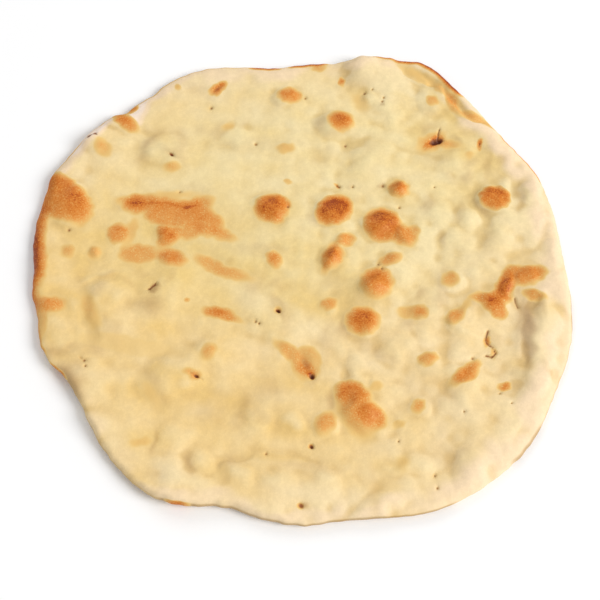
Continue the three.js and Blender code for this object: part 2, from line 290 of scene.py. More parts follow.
def fold_depth(x, y):
    """A step down on the left of each fold's path, which comes back up over the width of
    the trench, and a bell across each softer trench."""
    depth = 0
    for path, drop, step, width in FOLDS:
        off, share = near_path(x, y, path)
        deepest = drop * path_ends(share)
        depth = depth + deepest * blurred_step(-step, step, off) * blurred_step(width, step, off)
    for path, drop, half_width in TRENCHES:
        off, share = near_path(x, y, path)
        depth = depth + drop * path_ends(share) * np.clip(1 - (off / half_width) ** 2, 0, 1) ** 2
    return depth


# --------------------------------------------------------------------------------------
# Pits, pinholes and cracks. Bubbles that burst leave small dark holes, and where the skin
# tore as it dried there are ragged openings with a browned lip.
PITS = np.array([
    # [x, y, half length, half width, turn in degrees, depth]
    [85, 86.3, 4.8, 3.1, 20, 2.7], [88.5, 87, 3, 2, 60, 2.5], [97, 84.5, 12, 6, -25, 0.5],
    [4, -63, 11, 5, -60, 0.8], [-52.5, 126.7, 7.5, 2.4, 44, 0.9], [3.5, -145, 5, 4.5, 0, 0.7],
    [7.5, -71, 2.6, 2.2, -50, 2.4], [-86, -14.6, 4, 1.4, 45, 1.1], [-84.4, -13.4, 2.6, 1, 80, 0.8],
    [-87.8, -16.2, 2.4, 1, 0, 0.8], [-57.8, -71.3, 2, 1.6, -4, 1.6], [-12, -30.2, 2.6, 1.5, -35, 2.6],
    [1, -145.5, 2.8, 2, -45, 0.9], [7, -112, 2.2, 1.6, -40, 1.9], [112.7, 84, 2.8, 1, 80, 0.9],
    [-79, 75.5, 2.4, 1.5, -45, 2], [-131.5, 89, 2.2, 1.6, 45, 1.6],
])
FIRST_SMALL_PIT = 6
PINHOLE_DEPTH = 1.1
PINHOLES = np.array([
    # [x, y, half width]
    [-55.8, 112, 1.2], [-27, 84.5, 1.1], [29, 84, 1.2], [23.5, 54.5, 1], [24.8, 53.5, 0.9],
    [33, 53.5, 0.8], [51.5, 54, 1.1], [4, 119, 0.9], [42, 122.5, 1.2], [47, 125, 0.7],
    [53, 115.5, 1.2], [54, 118.5, 0.9], [-127.5, 91, 1], [-138.5, 23.5, 1.1], [-124, -60, 0.8],
    [-122, -61.5, 1], [-121, -65, 0.8], [-25, -37, 0.9], [-23, -38.2, 0.9], [-18, -116, 0.8],
    [99, -60, 1.1], [74, -128.5, 0.8], [75, -135.5, 0.9], [47, 0, 0.9], [49, -3, 1], [83, 53, 0.7],
    [61, 39, 0.9], [92, -92, 0.8], [55, -109, 0.7], [-6.8, 39.5, 1.1], [119, -87, 0.6],
    [113, -81, 0.6], [-73, 50, 0.8],
])
CRACKS = [
    # path, half width, depth
    ([[109, -43], [107.3, -48], [108, -50.5], [111.5, -53.5], [112.6, -56.5], [110.5, -59], [107, -58]],
     0.8, 1.2),
    ([[126, -22.5], [126.5, -25.5], [127.5, -28]], 0.7, 1),
    ([[88.5, 95.5], [87.4, 92], [87, 88]], 0.7, 1),
    ([[-131, 89], [-128.5, 91], [-126, 89.5]], 0.7, 0.8),
    ([[-61.5, -69.5], [-57.8, -71.3], [-54.5, -73]], 0.5, 0.6),
]


def hollow_depth(x, y):
    """Bells: depth times (1 - r^2)^2 in the pits, and depth times exp(-r^2) in the
    pinholes and across the cracks."""
    inside = np.clip(1 - share_out(x, y, PITS), 0, 1)
    depth = (PITS[:, 5:] * inside**2).sum(0)
    for hole_x, hole_y, half_width in PINHOLES:
        out = ((x - hole_x) ** 2 + (y - hole_y) ** 2) / half_width**2
        depth = depth + PINHOLE_DEPTH * np.exp(-out)
    for path, half_width, drop in CRACKS:
        off, _ = near_path(x, y, path)
        depth = depth + drop * np.exp(-((off / half_width) ** 2))
    return depth


# --------------------------------------------------------------------------------------
# The bread's skin: one closed surface over all of that. The top is finest, its lines drawn
# together round each pinhole and crack, the edge is a band, and the underside is coarser.
MM = 0.001
CELLS_ACROSS = 279
UNDER_COARSER = 3  # the strip that joins the underside is laid for three edges to one
EDGE_CROWDING = 20  # higher keeps the cells even for longer before the edge
UNDER_INSETS = [0.2, 0.7, 1.6, 2.8, 4.4]
FLAT_STARTS = 2  # how far in from the last of these the underside's grid begins
GATHER_REACH = 7
GATHER_TO = 0.42
EDGE_CLEAR = (3, 9)  # lines are gathered not at all and fully this far from the edge

# The relief: how high bubbles stand, how far waves bend them, and the rise of the slow
# swells, the fine wrinkles and the underside's dimples.
PUFF = 1.06
BEND = 0.8
SLOW_SWELL = 0.28
WRINKLE = 0.11
DIMPLE = 0.1
DIMPLE_REACH = 4 * UNDER_ROUNDING

# Wrinkles are stronger on the right: from and to across the bread, the share of them on
# the left, and what the right has more.
ROUGHER = (-60, 80, 0.6, 0.6)


def round_grid(cells):
    """A square grid laid over the unit disc, each square ring of it becoming a circle and
    its sides even arcs: the angle in degrees and the share of the radius of each point."""
    side = np.linspace(-1, 1, cells + 1)
    a, b = np.meshgrid(side, side, indexing="ij")
    wide = np.abs(a) > np.abs(b)
    reach = np.where(wide, a, b)
    ratio = np.where(wide, b, a) / np.where(reach == 0, 1, reach)
    turn = np.where(wide, np.pi / 4 * ratio, np.pi / 2 - np.pi / 4 * ratio)
    angle = np.degrees(turn) + np.where(reach < 0, 180, 0)
    return angle.ravel(), np.abs(reach).ravel()


def grid_faces(cells, first, upward):
    """The four-cornered faces of a square grid whose points start at number first."""
    number = first + np.arange((cells + 1) ** 2).reshape(cells + 1, cells + 1)
    faces = np.stack([number[:-1, :-1], number[1:, :-1], number[1:, 1:], number[:-1, 1:]], -1)
    faces = faces.reshape(-1, 4)
    return faces if upward else faces[:, ::-1]


def grid_border(cells, first):
    """The grid's border points in order, the way angles grow, from the corner at -45 degrees."""
    number = first + np.arange((cells + 1) ** 2).reshape(cells + 1, cells + 1)
    right, far = number[-1, :-1], number[:0:-1, -1]
    left, near = number[0, :0:-1], number[:-1, 0]
    return np.concatenate([right, far, left, near])


def gathered(x, y):
    """Draws the points in towards each pinhole and small pit and every second point of each
    crack, so that the lines lie closer there: r becomes r (1 - k (1 - (r / reach)^2)^2),
    where k is 1 less GATHER_TO."""
    centres = [tuple(hole[:2]) for hole in [*PINHOLES, *PITS[FIRST_SMALL_PIT:]]]
    for path, _, _ in CRACKS:
        centres += [tuple(point) for point in path[::2]]
    for centre_x, centre_y in centres:
        off_x, off_y = x - centre_x, y - centre_y
        inside = np.clip(1 - (off_x**2 + off_y**2) / GATHER_REACH**2, 0, 1)
        draw = 1 - (1 - GATHER_TO) * inside**2
        x, y = centre_x + off_x * draw, centre_y + off_y * draw
    return x, y


def bent(x, y):
    """Each place moved by BEND times waves each way, so that no foot is a true ellipse."""
    bent_x = x + BEND * dough_waves(x, y, shortest=9, longest=22, seed=3)
    bent_y = y + BEND * dough_waves(x, y, shortest=9, longest=22, seed=4)
    return bent_x, bent_y


def bread_relief(x, y):
    """Height over the plain dough: PUFF times the blisters and swellings, less the folds and
    hollows, plus slow swells and the fine wrinkles that hands and heat leave."""
    places = bent(x, y)
    blown = domes(*places, BLISTERS, BLISTER_FOOT) + domes(*places, SWELLINGS, SWELLING_FOOT)
    rise = PUFF * blown - fold_depth(*places) - hollow_depth(x, y)
    rise = rise + SLOW_SWELL * dough_waves(x, y, shortest=28, longest=60, seed=5)
    start, end, left, more = ROUGHER
    rougher = left + more * blurred_step(start, end, x)
    return rise + WRINKLE * rougher * dough_waves(x, y, shortest=7, longest=18, seed=6, count=60)


def top_height(angle, inset, x, y):
    """The top skin: the widest line's level, plus the height of dough and relief over it
    times a quarter round, tighter where the edge is thin, plus the rim's lift."""
    rounding, level = thin_edge(angle)
    full = THICKNESS + bread_relief(x, y) - level
    return level + full * quarter_round(inset, rounding) + rim_lift(angle, inset)


def under_height(angle, inset, x, y):
    """The underside: the widest line's level, brought down to the table by a quarter round,
    plus the rim's lift and shallow dimples, which are squared waves away from the edge."""
    waves = dough_waves(x, y, shortest=12, longest=30, seed=7)
    dimple = DIMPLE * waves**2 * quarter_round(inset, DIMPLE_REACH)
    level = thin_edge(angle)[1]
    return level * (1 - quarter_round(inset, UNDER_ROUNDING)) + rim_lift(angle, inset) + dimple


def bread_skin():
    """All points in millimetres, with each one's angle and its way over the edge: minus
    its inset on the top, 0 on the widest line and plus its inset below. And the faces."""
    angle, even = round_grid(CELLS_ACROSS)
    share = even + even * (1 - even**EDGE_CROWDING) / EDGE_CROWDING
    radius = edge_radius(angle) * share
    x, y = radius * np.cos(np.radians(angle)), radius * np.sin(np.radians(angle))
    drawn_x, drawn_y = gathered(x, y)
    clear = blurred_step(*EDGE_CLEAR, edge_radius(angle) * (1 - share))
    x, y = x + clear * (drawn_x - x), y + clear * (drawn_y - y)
    angle = np.degrees(np.arctan2(y, x))
    inset = np.where(even < 1, edge_radius(angle) - np.hypot(x, y), 0)
    parts = [(x, y, top_height(angle, inset, x, y), angle, -inset)]
    faces = [grid_faces(CELLS_ACROSS, 0, True)]

    # the band over the edge
    rim = grid_border(CELLS_ACROSS, 0)
    rim_angle = angle[rim]
    count = len(x)
    for inset in UNDER_INSETS:
        radius = edge_radius(rim_angle) - inset
        x, y = radius * np.cos(np.radians(rim_angle)), radius * np.sin(np.radians(rim_angle))
        below = under_height(rim_angle, np.full_like(x, inset), x, y)
        parts.append((x, y, below, rim_angle, np.full_like(x, inset)))
        ring = count + np.arange(len(rim))
        faces.append(np.stack([np.roll(rim, -1), rim, ring, np.roll(ring, -1)], -1))
        rim, count = ring, count + len(ring)

    # the underside, and the strip that joins its coarser cells to the band
    cells = CELLS_ACROSS // UNDER_COARSER
    angle, share = round_grid(cells)
    radius = (edge_radius(angle) - (UNDER_INSETS[-1] + FLAT_STARTS)) * share
    x, y = radius * np.cos(np.radians(angle)), radius * np.sin(np.radians(angle))
    inset = edge_radius(angle) - radius
    parts.append((x, y, under_height(angle, inset, x, y), angle, inset))
    faces.append(grid_faces(cells, count, False))
    inner = grid_border(cells, count)
    inner_next, fine = np.roll(inner, -1), rim.reshape(-1, UNDER_COARSER)
    fine_next = np.roll(rim, -UNDER_COARSER).reshape(-1, UNDER_COARSER)[:, 0]
    faces.append(np.stack([inner, inner_next, fine[:, 2], fine[:, 1]], -1))
    corners = [
        np.stack([inner, fine[:, 1], fine[:, 0]], -1),
        np.stack([inner_next, fine_next, fine[:, 2]], -1),
    ]
    x, y, z, angle, over = (np.concatenate(rows) for rows in zip(*parts))
    return np.stack([x, y, z], -1), angle, over, np.concatenate(faces), np.concatenate(corners)


skin, skin_angle, skin_over, squares, corners = bread_skin()
low, high = (np.array(corner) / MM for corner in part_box("pizza_bread"))
middle = (skin.min(0) + skin.max(0)) / 2
middle[2] = 0
placed = skin - middle + [*(low[:2] + high[:2]) / 2, 0]

bread_mesh = bpy.data.meshes.new("baked_bread")
bread_mesh.from_pydata((placed * MM).tolist(), [], squares.tolist() + corners.tolist())
bread_mesh.shade_smooth()
bread = bpy.data.objects.new("baked_bread", bread_mesh)
bpy.context.scene.collection.objects.link(bread)

# --------------------------------------------------------------------------------------
# The browning. The oven toasts what stands highest: the crowns of the blisters, streaks
# where the skin dried in ridges, and the thin edge of the rim.
FAR_BROWNER = 0.27
CAP_BLUR = 0.8
RAGGED = 0.3

# Most rows are the rounded output of a fit to the photo's browning, the rest given one by one.
CAPS = np.array([
    # [x, y, half length, half width, turn in degrees, how brown, how blurred]
    [21.4, 36.6, 10.8, 8.6, 34, 1.05, 0.45], [50.4, 26.7, 10.4, 9.9, -61, 0.95, 0.47],
    [61.8, 19.9, 8.8, 5.8, -36, 0.61, 0.73], [67.4, 19.4, 4.3, 7.6, -27, 0.32, 0.53],
    [-16.5, 38.3, 8.1, 9, 83, 0.88, 0.61], [-12.6, 42, 5, 7.7, 64, 0.68, 0.45],
    [45.7, -12.9, 8.1, 9, -19, 0.79, 0.69], [36.9, -36.9, 8, 7.3, -1, 0.94, 0.76],
    [30.1, -82.2, 6.9, 9.2, 69, 0.77, 0.59], [33, -93.1, 13.7, 8.9, -66, 0.48, 0.95],
    [39.6, -94.8, 9.1, 6.2, -29, 0.73, 0.6], [14.6, -99.5, 6.7, 5.1, 57, 0.46, 0.95],
    [119.3, 44.9, 8.8, 8.2, 0, 0.86, 0.35], [-149.2, 47.3, 26, 13.1, -33, 0.79, 0.31],
    [26.4, 100.5, 6.7, 6, -27, 0.93, 0.88], [-109.1, 100.4, 8.9, 3.9, -46, 0.75, 0.95],
    [19.9, 4.4, 5.1, 6.1, -28, 0.82, 0.95], [18.7, 4.4, 3, 9.4, -21, 0.7, 0.95],
    [28.1, 16.7, 5.3, 4.1, 21, 0.52, 0.76], [53.9, 2.9, 6.7, 3.5, 26, 0.48, 0.95],
    [-14.7, 2.9, 3.8, 5.1, 19, 0.59, 0.95], [17.4, -26.4, 5, 3.8, 22, 0.43, 0.79],
    [61.2, 51.4, 4.7, 5, 52, 0.86, 0.95], [89.1, -10.3, 4.5, 5.1, -43, 0.38, 0.95],
    [70.5, -31.5, 3.8, 4.1, 29, 0.54, 0.95], [64.4, -31.3, 7.2, 4.2, -9, 0.28, 0.72],
    [90.3, -34.4, 5.7, 3.8, 41, 0.47, 0.95], [73.4, -60.7, 6, 3.9, 19, 0.43, 0.66],
    [93.9, -69.7, 9.3, 3.5, 40, 0.64, 0.95], [94.1, -71.3, 6.4, 3.6, 16, 0.51, 0.5],
    [116.3, -76.9, 3.2, 2, 14, 0.68, 0.95], [66.8, -89.1, 3.1, 4.4, -40, 0.44, 0.95],
    [55.5, -99.4, 4.8, 2.9, 18, 0.19, 0.59], [43, -77.8, 4.9, 3.3, 27, 0.2, 0.74],
    [-5.9, 120.2, 6.5, 5, -9, 0.72, 0.81], [27.4, 131.4, 1.7, 3.2, 0, 0.63, 0.95],
    [12.7, 143.1, 4.3, 2.9, 0, 0.35, 0.95], [-8.2, 80.7, 5.7, 3.7, -2, 0.26, 0.95],
    [-6.7, 57, 2.9, 1.6, -18, 0.25, 0.95], [-77.7, 127.9, 3.1, 1.6, -63, 0.27, 0.95],
    [-121.8, 80.3, 6.5, 4.6, -60, 0.33, 0.95], [-106, 111, 4, 2.2, 45, 0.6, 0.9],
    [-78.8, 67.4, 5, 3.4, 5, 0.32, 0.9], [-44.7, 96.9, 3.3, 5, -57, 0.21, 0.95],
    [-109, 20.8, 6.5, 5.9, 85, 0.59, 0.61], [-77.7, 18, 4.4, 8.5, -45, 0.61, 0.95],
    [-64.5, 23.1, 8.7, 5.8, 38, 0.45, 0.63], [-75.6, 4.5, 8.1, 4.8, -19, 0.7, 0.95],
    [-121.5, 7.5, 3.8, 4.6, 9, 0.34, 0.95], [-137.8, 8.4, 4.8, 4, -59, 0.34, 0.95],
    [-159.6, -28.4, 23.5, 11.6, -64, 0.31, 0.13], [-51.4, -57.1, 4.1, 5.5, -29, 0.36, 0.95],
    [-87, -110, 7, 3, 8, 0.22, 0.9], [-98.9, 41.4, 7, 5.4, -4, 0.93, 0.95],
    [-60, -69.8, 5, 2.2, -15, 0.36, 0.95], [-58.3, -71.4, 3.4, 2.4, 20, 0.4, 0.95],
    [134.9, -8.1, 9.7, 5.5, 18, 0.72, 0.71], [126.5, -7.4, 6.5, 5.5, 30, 0.6, 0.8],
    [119.5, -17.6, 12.5, 4.4, 64, 0.92, 0.75], [112.3, -24.7, 4.9, 4.5, 32, 0.85, 0.95],
    [114.9, -28.5, 7.8, 4.7, -62, 0.63, 0.38], [83.6, 85.4, 6.8, 2.8, 37, 1.01, 0.59],
    [112.7, 83.6, 3.4, 1.2, 80, 0.75, 0.95], [106, 76, 3, 3, 0, 0.2, 0.95],
    [-87.7, 41.6, 18.1, 4.7, -6, 0.65, 0.95], [-65.6, 38, 12.9, 6.4, 27, 0.51, 0.69],
    [-83.8, 47.1, 24.7, 3.5, 3, 0.19, 0.95], [-73.5, 34.7, 20.3, 8.9, 0, 0.55, 0.3],
    [-55, 27.4, 9.3, 8.3, -17, 0.51, 0.57], [-48.9, 21.6, 10.9, 3.8, -22, 0.47, 0.95],
    [-95.8, 7, 11.3, 6.6, -1, 0.41, 0.51], [-50.7, -1.1, 12.4, 4.5, -31, 0.34, 0.64],
    [-39.9, -5.7, 13, 3.8, -18, 0.35, 0.95], [-47.3, -30.9, 7.4, 3.3, -5, 0.66, 0.95],
    [-43.7, -32.5, 10.1, 2.6, -21, 0.56, 0.95], [-1.2, -59.4, 15, 4.2, -39, 0.35, 0.65],
    [4.3, -66.8, 5.8, 4, -32, 0.66, 0.95], [4.2, -63.5, 11.2, 8.9, 81, 0.25, 0.3],
    [6.1, -69.4, 2.7, 1.3, -14, 1.08, 0.95], [-52.1, 127, 5.6, 2.6, 40, 0.82, 0.95],
    [-52.2, 124.1, 2, 2.8, -3, 0.73, 0.95], [-79.3, 19.9, 6.4, 4.4, -51, 0.75, 0.86],
    [93.6, -32.1, 13, 2.9, 57, 0.2, 0.95], [108.6, -22.1, 7.3, 3.3, -7, 0.56, 0.95],
    [23.6, 54.2, 2, 0.9, -50, 0.5, 0.95], [-145.3, -26.2, 8.7, 5, -1, 0.56, 0.95],
    [119.5, -20.8, 5, 4, -24, 0.5, 0.95], [-135.5, 39.5, 6.7, 12.8, 18, 0.65, 0.7],
    [88.3, 85.1, 11.6, 3.4, -9, 0.39, 0.95], [-102, 19.6, 3.9, 12.3, -15, 0.25, 0.95],
    [137.5, -21.2, 6.5, 2.8, -20, 0.42, 0.8], [-41, -127.1, 4.4, 6.8, -5, 0.1, 0.7],
    [-67.5, 39.2, 3.8, 1.4, 5, 1, 0.9], [-63.3, 41, 2.6, 1, 50, 0.85, 0.9],
    [-87, 42.3, 9, 1.1, 1, 0.8, 0.9], [-75.5, 40.8, 4.6, 1.1, -22, 0.85, 0.9],
    [-105.5, 44, 4.5, 1.2, -10, 0.4, 0.95], [39.3, 114.3, 9.8, 5.3, -62, 0.15, 0.95],
    [82.9, 85.6, 9.5, 5.3, 33, 0.35, 0.92], [-18.1, 34.5, 9.6, 3.8, -34, 0.7, 0.57],
    [-187.5, 23.8, 25.9, 50.5, 35, 1.2, 0.21], [-120.3, -33, 15, 5, -68, 0.24, 0.95],
    [-95.9, -52.3, 33.3, 6.3, -11, 0.12, 0.44], [-12.1, -30.1, 2.2, 2.6, -11, 0.25, 0.95],
    [80, 134, 17, 4.5, -35, 0.19, 0.9], [98, 114, 8, 3.4, -68, 0.45, 0.9],
    [91, 124.5, 6, 3.4, -48, 0.28, 0.95], [112, 103, 15, 3, -25, 0.34, 0.95],
    [108.1, -49.7, 3, 1.6, 73, 0.6, 0.95], [84.8, 115.6, 4, 3.8, 0, 0.34, 0.6],
    [0.7, -145.5, 1.8, 1.3, 11, 0.49, 0.95], [111.2, -56.8, 3.8, 1.8, 82, 0.29, 0.95],
    [6.2, -111.8, 1.4, 1.2, -40, 0.48, 0.95], [-65.8, -23, 1.5, 1.2, 5, 0.4, 0.89],
    [56.4, -122.6, 6.1, 4.3, 58, 0.17, 0.95], [-82.2, -83, 11.3, 4.4, -56, 0.16, 0.95],
    [-14.2, -118, 18.4, 2.9, -5, 0.13, 0.95],
])
RIM_TOAST = [
    # from and to in degrees, how brown, how far in over the top
    (165, 183, 0.85, 6.5), (183, 190, 0.8, 2.5), (190, 201, 0.35, 1.4), (204.5, 208, 0.55, 1),
    (244.3, 246.8, 0.85, 0.8), (22, 35, 0.85, 1.3), (50, 60.5, 1.3, 3.2), (60.5, 67, 1.1, 3),
    (68, 71.5, 0.85, 3), (84, 91.5, 1.15, 3), (95.7, 101.5, 1.1, 3), (105, 165, 0.3, 1.6),
]


def rim_band(over, reach):
    """A blurred step from 0 at 1.6 of the reach in from the edge to 1 at 0.4 of it."""
    return blurred_step(-1.6 * reach, -0.4 * reach, over)


def browning(x, y, angle, over):
    """How brown the skin is, with 0 for pale. In each cap it is brown times
    1 + FAR_BROWNER t, where t runs from -1 at the near foot to 1 at the far one. Its outline
    is blurred by CAP_BLUR times soft of its size, both ways.
    Bands along the rim are added to the caps as the cube root of the sum of their cubes."""
    ragged_x = x + RAGGED * dough_waves(x, y, shortest=4, longest=9, seed=8)
    ragged_y = y + RAGGED * dough_waves(x, y, shortest=4, longest=9, seed=9)
    out = np.sqrt(share_out(ragged_x, ragged_y, CAPS))
    brown, soft = CAPS[:, 5:6], CAPS[:, 6:7]
    far = np.clip((ragged_y - CAPS[:, 1:2]) / CAPS[:, 2:4].mean(1)[:, None], -1, 1)
    blur = CAP_BLUR * soft
    cubes = ((brown * (1 + FAR_BROWNER * far) * blurred_step(1 + blur, 1 - blur, out)) ** 3).sum(0)
    for start, end, brown, reach in RIM_TOAST:
        cubes = cubes + (brown * rim_band(over, reach) * along_rim(angle, start, end)) ** 3
    return np.cbrt(cubes)


# The crest below sets where the finish paints shade into hollows and light onto crowns.
CREST_RING = 6
CREST_FULL = 0.9


def crest(x, y):
    """How much a place stands over its surroundings, from -1 in a hollow to 1 on a crown:
    its height less the mean of eight places on a ring about it, as a share of CREST_FULL."""
    ring = 0
    for turn in np.arange(8) * np.pi / 4:
        ring_x, ring_y = x + CREST_RING * np.cos(turn), y + CREST_RING * np.sin(turn)
        ring = ring + bread_relief(ring_x, ring_y) / 8
    return np.clip((bread_relief(x, y) - ring) / CREST_FULL, -1, 1)


# The creases between the swellings and at their feet are darkened: painted shade, with some
# of the denser dough's own tone. Most rows are the rounded output of the fit that made the
# swellings, the rest given one by one.
CREASE_SHADES = np.array([
    # [x, y, half length, half width, turn in degrees, how dark, how blurred]
    [29.8, 140.6, 3.5, 8.9, -42, 0.17, 0.31], [-63.1, 126, 12.1, 3.9, -25, 0.12, 0.63],
    [-34.7, 100.6, 3.4, 4.6, -1, 0.14, 0.64], [-10.4, 119.1, 9.3, 5.2, 81, 0.13, 0.3],
    [34.4, 131.4, 8.9, 4.2, 36, 0.21, 0.95], [43.3, 131.1, 6.6, 2.1, 40, 0.14, 0.95],
    [53.3, 114.7, 1.5, 1.5, 35, 0.35, 0.49], [85.2, 111, 7.4, 6.7, 53, 0.13, 0.3],
    [101.8, 105.5, 6.3, 1.5, -31, 0.2, 0.9], [-96.5, 77, 3.2, 6.5, -14, 0.24, 0.8],
    [-86, 94, 9, 2.2, -5, 0.14, 0.9], [-91.9, 87, 6.2, 1.8, 42, 0.37, 0.95],
    [-80.1, 77.7, 6.8, 3, -33, 0.24, 0.75], [-73, 80.4, 12.6, 3.7, -83, 0.23, 0.95],
    [-60.4, 95.6, 4.2, 2.2, -17, 0.17, 0.95], [-49.4, 95.9, 7.4, 4.2, 55, 0.21, 0.65],
    [-30.2, 84, 26, 3.8, 1, 0.11, 0.95], [14.9, 99.7, 6.7, 3.6, 48, 0.33, 0.95],
    [15, 75.6, 8.8, 6.6, 19, 0.12, 0.44], [25.2, 93.7, 9, 2.9, 14, 0.22, 0.7],
    [35.9, 84.5, 9.1, 10.4, -48, 0.05, 0.3], [80.9, 96.1, 3.1, 1.9, 34, 0.12, 0.95],
    [83.5, 83.1, 15.9, 10.9, -87, 0.13, 0.3], [93.7, 60, 6.8, 3.7, -50, 0.15, 0.47],
    [97.7, 79.7, 5.9, 1.5, 7, 0.14, 0.7], [98.3, 87.1, 3.8, 2.2, -36, 0.25, 0.95],
    [107, 71.1, 7.2, 3.2, 31, 0.19, 0.95], [116.3, 82.6, 2.2, 5, 26, 0.15, 0.68],
    [116.4, 67.5, 2.3, 10.1, -11, 0.2, 0.67], [122, 63.1, 4.7, 3.7, -22, 0.07, 0.3],
    [125.3, 71.5, 2.7, 2.5, 32, 0.23, 0.95], [-136.2, 28.7, 9.4, 5.6, -85, 0.11, 0.8],
    [-85.6, -19, 10, 4.5, 70, 0.1, 0.9], [-109, 41.8, 3.1, 4.7, 10, 0.27, 0.95],
    [-66, 49.6, 12.1, 5.8, -2, 0.14, 0.95], [-46.3, 27.4, 16.7, 12.9, 56, 0.08, 0.3],
    [16.3, 31.7, 8.4, 5.9, -7, 0.42, 0.65], [31.9, 53.7, 1.5, 1.5, 68, 0.23, 0.78],
    [34.5, 43.4, 2.9, 1.9, 39, 0.18, 0.95], [50.2, 54.8, 1.5, 1.5, -55, 0.35, 0.6],
    [78.1, 40.9, 6.1, 4.4, -88, 0.24, 0.41], [96.7, 34.7, 3.4, 7.3, -14, 0.15, 0.33],
    [104.1, 59.5, 5, 2.6, 68, 0.27, 0.79], [105.6, 46.4, 3.7, 9.7, -36, 0.07, 0.3],
    [111.5, 37.6, 7.3, 3, -66, 0.27, 0.47], [-128.2, -9.9, 2.4, 5.8, 48, 0.11, 0.33],
    [-116.3, -15.7, 5.9, 2.7, 34, 0.23, 0.73], [-112.9, -6.9, 6.1, 2.2, 14, 0.24, 0.95],
    [-100.3, -11.5, 4.9, 1.6, -59, 0.16, 0.95], [-96, -3.2, 8.6, 4, -37, 0.12, 0.39],
    [-83.8, -15.4, 3.3, 2.1, 4, 0.43, 0.4], [-75.1, -6.8, 6.6, 2.3, 53, 0.12, 0.34],
    [-53.4, 7.5, 24.4, 4.3, -31, 0.09, 0.95], [-40.1, 3, 2.2, 4.5, -20, 0.16, 0.68],
    [-26.5, -13.5, 9.6, 3.9, 76, 0.2, 0.94], [-20.2, 10.6, 15.8, 3.1, -3, 0.17, 0.95],
    [-14.3, -13.3, 5.5, 3, 7, 0.19, 0.65], [22.1, -14.8, 17.2, 5.6, -73, 0.11, 0.78],
    [71.7, -20, 4.8, 1.7, 45, 0.27, 0.72], [84, -16.3, 3.6, 14, -6, 0.21, 0.53],
    [85.7, 18.4, 1.5, 4.2, 25, 0.27, 0.95], [-147.7, -57.2, 26, 3.2, 7, 0.26, 0.95],
    [-108.1, -44.5, 14.8, 5.2, -51, 0.15, 0.41], [-84.9, -26.6, 7.3, 6.7, 46, 0.19, 0.53],
    [-11.8, -27.6, 2.9, 8.2, 22, 0.23, 0.69], [-7.4, -36.4, 3.6, 8.9, -4, 0.11, 0.38],
    [16.6, -45.5, 3.3, 14, -7, 0.16, 0.95], [29.2, -38.8, 5.1, 9.2, -36, 0.27, 0.38],
    [34.6, -23.6, 5.1, 2.9, 65, 0.11, 0.65], [44.9, -55.7, 11.3, 2.6, -30, 0.17, 0.95],
    [64.2, -39.2, 3.7, 1.6, -64, 0.21, 0.85], [100.8, -23.8, 6.6, 3.1, 67, 0.31, 0.95],
    [113.4, -48.8, 4.5, 4.8, -51, 0.12, 0.38], [131.3, -33.2, 3.7, 14, 0, 0.27, 0.92],
    [142.3, -28.9, 3, 1.6, 81, 0.24, 0.95], [-128.7, -72.2, 12.6, 8.7, 72, 0.2, 0.4],
    [-77.6, -83.1, 4, 4.8, -62, 0.21, 0.95], [-48, -94.4, 10.4, 3.8, -28, 0.13, 0.9],
    [-37.8, -84, 16.5, 7, 5, 0.08, 0.3], [-19.6, -95.2, 12.2, 4.1, -28, 0.09, 0.43],
    [-16.2, -77.1, 6, 9, 41, 0.15, 0.73], [8.9, -69.2, 8.1, 2.6, 84, 0.22, 0.48],
    [18.9, -84.8, 4.1, 2.3, 76, 0.34, 0.95], [72.9, -79.7, 15.6, 12.2, 20, 0.09, 0.3],
    [115.8, -69.4, 2.5, 11.8, 30, 0.08, 0.55], [140.7, -66.5, 6.5, 2.9, -72, 0.16, 0.51],
    [1.7, -122.9, 19.5, 2.3, -10, 0.15, 0.95], [40, -138.3, 2.8, 14, 0, 0.14, 0.95],
    [79.1, -103.4, 2.3, 5.5, 16, 0.13, 0.95], [80.3, -117.4, 6, 10.1, 34, 0.1, 0.34],
    [91.8, -114.5, 5, 1.9, 48, 0.13, 0.64], [-79.5, -108.5, 1.6, 6, 0, 0.25, 0.95],
    [-40, -125.5, 3, 6, -20, 0.22, 0.9], [-60.3, -121, 2, 6, 5, 0.28, 0.95],
    [-82, -77, 10, 2.8, -69, 0.16, 0.9], [-31.5, -92, 9, 2.4, 75, 0.15, 0.9],
    [-116, -51, 9, 3, -65, 0.15, 0.9], [-92, -26, 12, 3, -20, 0.1, 0.9],
    [134.9, 45.7, 3, 8.6, -10, 0.26, 0.8], [132, -49, 17, 3.2, 82, 0.32, 0.8],
    [134, -30, 9, 7, 80, 0.14, 0.8], [127, -45, 16, 3, 84, 0.12, 0.9], [113, 14.6, 5, 9, 0, 0.12, 0.8],
])

# Along the rim's lowest line the colour is darkened too: painted shade where the side faces
# away, with some of the edge's own darker tone: from and to in degrees, how dark, how far in.
RIM_SHADE_LINES = [
    (346.5, 353.5, 0.55, 0.9), (323, 346.5, 0.25, 0.6), (315, 323, 0.55, 1.3), (243, 300, 0.5, 0.5),
    (206, 215, 0.3, 5), (218, 248, 0.3, 0.5), (0, 22, 0.3, 0.5),
]


def crease_shading(x, y, angle, over):
    """How much painted shade darkens the creases, with some of the denser dough's tone: the sum
    of ellipses blurred from 1 - soft to 1 + soft of their size, and of bands along the rim."""
    out = np.sqrt(share_out(*bent(x, y), CREASE_SHADES))
    dark, soft = CREASE_SHADES[:, 5:6], CREASE_SHADES[:, 6:7]
    dark = (dark * blurred_step(1 + soft, 1 - soft, out)).sum(0)
    for start, end, much, reach in RIM_SHADE_LINES:
        dark = dark + much * rim_band(over, reach) * along_rim(angle, start, end)
    return dark


MOIST_LOOSE = 7
MOIST_FADE = 1.6
MOIST_UNEVEN = 0.1
